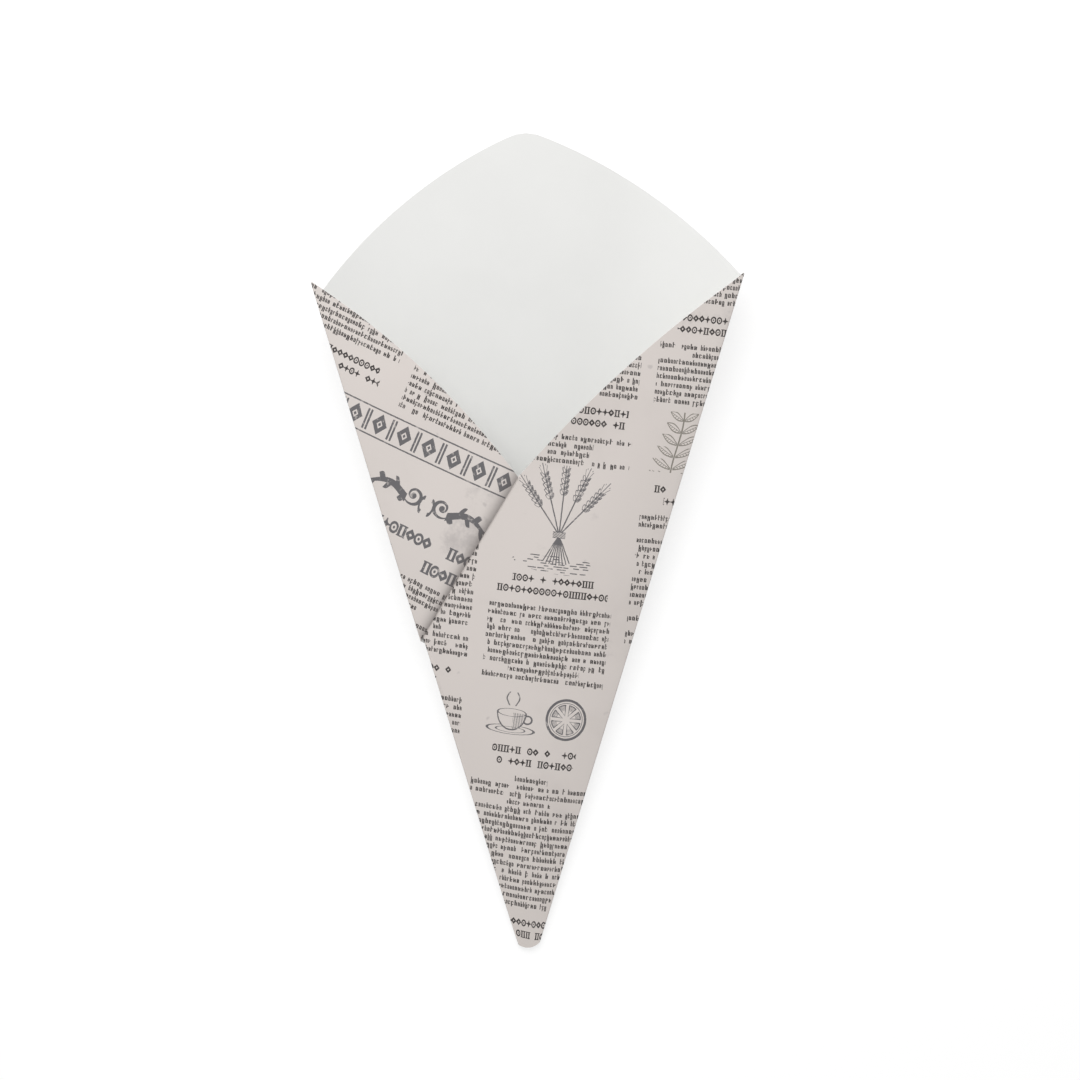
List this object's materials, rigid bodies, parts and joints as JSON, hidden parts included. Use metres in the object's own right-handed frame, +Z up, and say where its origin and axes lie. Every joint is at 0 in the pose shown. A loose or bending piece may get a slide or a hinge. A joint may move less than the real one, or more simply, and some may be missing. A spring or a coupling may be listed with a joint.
{
  "type": "cone paper cup",
  "caption": "Flat-folded paper cone cup with a glued diagonal lap, rounded tip and open peaked mouth.",
  "frame": {"origin": "middle of the cup's outline, on the plane that its back rests on", "axes": "+Y from the tip up to the peak, +Z up from the resting back to the front with the seam, +X to the right of the front"},
  "size_m": [0.1354, 0.2552, 0.019],
  "materials": {
    "printed_paper": "uncoated newsprint-toned paper, printed outside, white inside"
  },
  "bodies": {
    "root": {"paper_cone": "printed_paper"}
  },
  "joints": []
}
